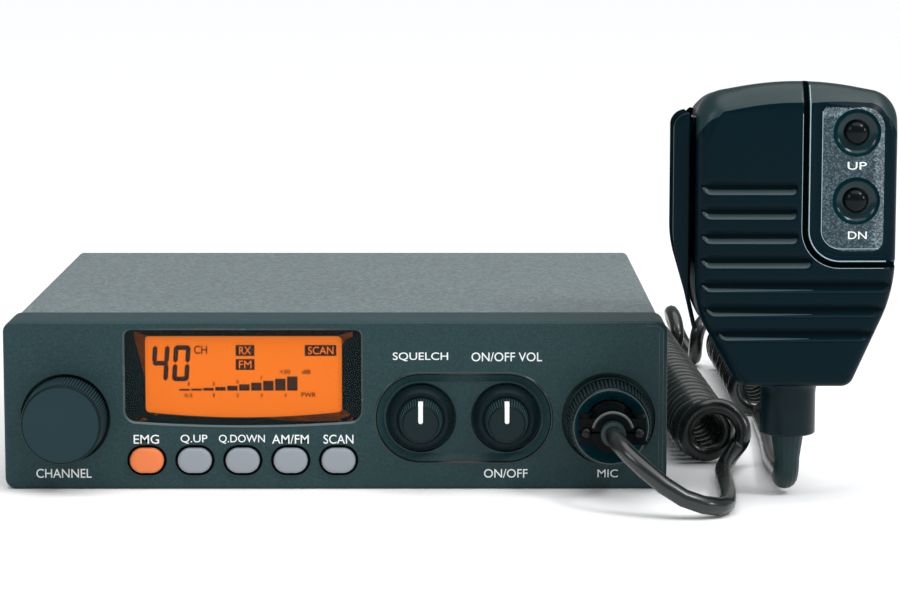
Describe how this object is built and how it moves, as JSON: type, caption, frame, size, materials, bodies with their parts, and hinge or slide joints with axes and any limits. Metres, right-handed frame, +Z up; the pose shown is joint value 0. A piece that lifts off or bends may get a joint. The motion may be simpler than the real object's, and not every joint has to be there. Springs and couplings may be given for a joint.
{
  "type": "cb radio",
  "caption": "Mobile two-way radio set with a display, dials and keys, and a hand microphone on a curly cord.",
  "frame": {"origin": "middle of the underside of the set, on the surface it stands on", "axes": "+X to the right seen from the front, +Y from the front panel to the rear, +Z up"},
  "size_m": [0.2376, 0.2764, 0.1121],
  "materials": {
    "panel_plastic": "satin dark blue-green grey, lightly speckled",
    "cover_paint": "fine textured grey-green paint",
    "knob_plastic": "glossy near-black, moulded",
    "pointer_white": "white inlay",
    "key_grey": "satin light grey",
    "key_orange": "satin coral orange",
    "lens": "clear glossy",
    "mask_black": "glossy dark surround",
    "lcd_orange": "lit orange display",
    "lamp_white": "milky light guide",
    "board_green": "green laminate",
    "part_black": "matte black mouldings",
    "steel": "zinc plated sheet",
    "chrome": "polished plating",
    "aluminium": "plain die casting",
    "brass": "plated contact",
    "cord_black": "glossy black sheath",
    "paper_cone": "pressed paper",
    "insulator_white": "white insulator",
    "hand_plastic": "satin near-black blue-green",
    "hand_button": "soft dark button"
  },
  "bodies": {
    "set": {"aerial_contact": "brass", "aerial_insulator": "insulator_white", "aerial_socket": "chrome", "board_parts": "part_black", "bottom_cover": "cover_paint", "case_screws": "steel", "channel_encoder": "part_black", "chassis_frame": "steel", "control_board": "board_green", "cord_boot": "cord_black", "cord_curls": "cord_black", "cord_hand_lead": "cord_black", "cord_plug_lead": "cord_black", "display_lens": "lens", "display_mask": "mask_black", "front_panel": "panel_plastic", "hand_board": "board_green", "hand_fixings": "steel", "hand_front_shell": "hand_plastic", "hand_key_panel": "hand_plastic", "hand_rear_shell": "hand_plastic", "inlet_pins": "brass", "lcd_lamp_block": "lamp_white", "lcd_panel": "lcd_orange", "main_board": "board_green", "mic_capsule": "aluminium", "mic_contacts": "brass", "mic_socket": "chrome", "plug_body": "steel", "plug_clamp": "steel", "power_inlet": "part_black", "power_transistors": "part_black", "rear_panel": "aluminium", "speaker_cone": "paper_cone", "speaker_frame": "steel", "speaker_jack": "part_black", "squelch_control": "part_black", "strain_relief": "cord_black", "tact_switches": "part_black", "talk_pin": "steel", "talk_switch": "part_black", "top_cover": "cover_paint", "volume_control": "part_black"},
    "channel_dial": {"channel_knob": "knob_plastic", "channel_shaft": "steel"},
    "squelch_dial": {"squelch_knob": "knob_plastic", "squelch_pointer": "pointer_white", "squelch_shaft": "steel"},
    "volume_dial": {"volume_knob": "knob_plastic", "volume_pointer": "pointer_white", "volume_shaft": "steel"},
    "emergency_key": {"emergency_button": "key_orange"},
    "channel_up_key": {"channel_up_button": "key_grey"},
    "channel_down_key": {"channel_down_button": "key_grey"},
    "mode_key": {"mode_button": "key_grey"},
    "scan_key": {"scan_button": "key_grey"},
    "talk_key": {"talk_lever": "hand_plastic"},
    "up_key": {"up_button": "hand_button"},
    "down_key": {"down_button": "hand_button"},
    "plug_coupling": {"plug_ring": "knob_plastic"}
  },
  "joints": [
    {"name": "channel_turn", "type": "hinge", "parent": "set", "child": "channel_dial", "pos_m": [-0.0733, -0.082, 0.0195], "axis": [0, 1, 0], "continuous": true},
    {"name": "squelch_turn", "type": "hinge", "parent": "set", "child": "squelch_dial", "pos_m": [0.02315, -0.082, 0.0195], "axis": [0, 1, 0], "range_deg": [-150, 150]},
    {"name": "volume_turn", "type": "hinge", "parent": "set", "child": "volume_dial", "pos_m": [0.04635, -0.082, 0.0195], "axis": [0, 1, 0], "range_deg": [-150, 150]},
    {"name": "emergency_press", "type": "slide", "parent": "set", "child": "emergency_key", "axis": [0, 1, 0], "range_m": [0, 0.0008], "stiffness_N_per_m": 500, "springref_m": -0.001},
    {"name": "channel_up_press", "type": "slide", "parent": "set", "child": "channel_up_key", "axis": [0, 1, 0], "range_m": [0, 0.0008], "stiffness_N_per_m": 500, "springref_m": -0.001},
    {"name": "channel_down_press", "type": "slide", "parent": "set", "child": "channel_down_key", "axis": [0, 1, 0], "range_m": [0, 0.0008], "stiffness_N_per_m": 500, "springref_m": -0.001},
    {"name": "mode_press", "type": "slide", "parent": "set", "child": "mode_key", "axis": [0, 1, 0], "range_m": [0, 0.0008], "stiffness_N_per_m": 500, "springref_m": -0.001},
    {"name": "scan_press", "type": "slide", "parent": "set", "child": "scan_key", "axis": [0, 1, 0], "range_m": [0, 0.0008], "stiffness_N_per_m": 500, "springref_m": -0.001},
    {"name": "talk_press", "type": "hinge", "parent": "set", "child": "talk_key", "pos_m": [0.0921, -0.0925, 0.099], "axis": [0, -1, 0], "range_deg": [0, 1.6], "stiffness_Nm_per_rad": 1.5, "springref_deg": -2.29},
    {"name": "up_press", "type": "slide", "parent": "set", "child": "up_key", "axis": [0, 1, 0], "range_m": [0, 0.0008], "stiffness_N_per_m": 400, "springref_m": -0.001},
    {"name": "down_press", "type": "slide", "parent": "set", "child": "down_key", "axis": [0, 1, 0], "range_m": [0, 0.0008], "stiffness_N_per_m": 400, "springref_m": -0.001},
    {"name": "plug_ring_turn", "type": "hinge", "parent": "set", "child": "plug_coupling", "pos_m": [0.0741, -0.088, 0.0193], "axis": [0, 1, 0], "continuous": true}
  ]
}
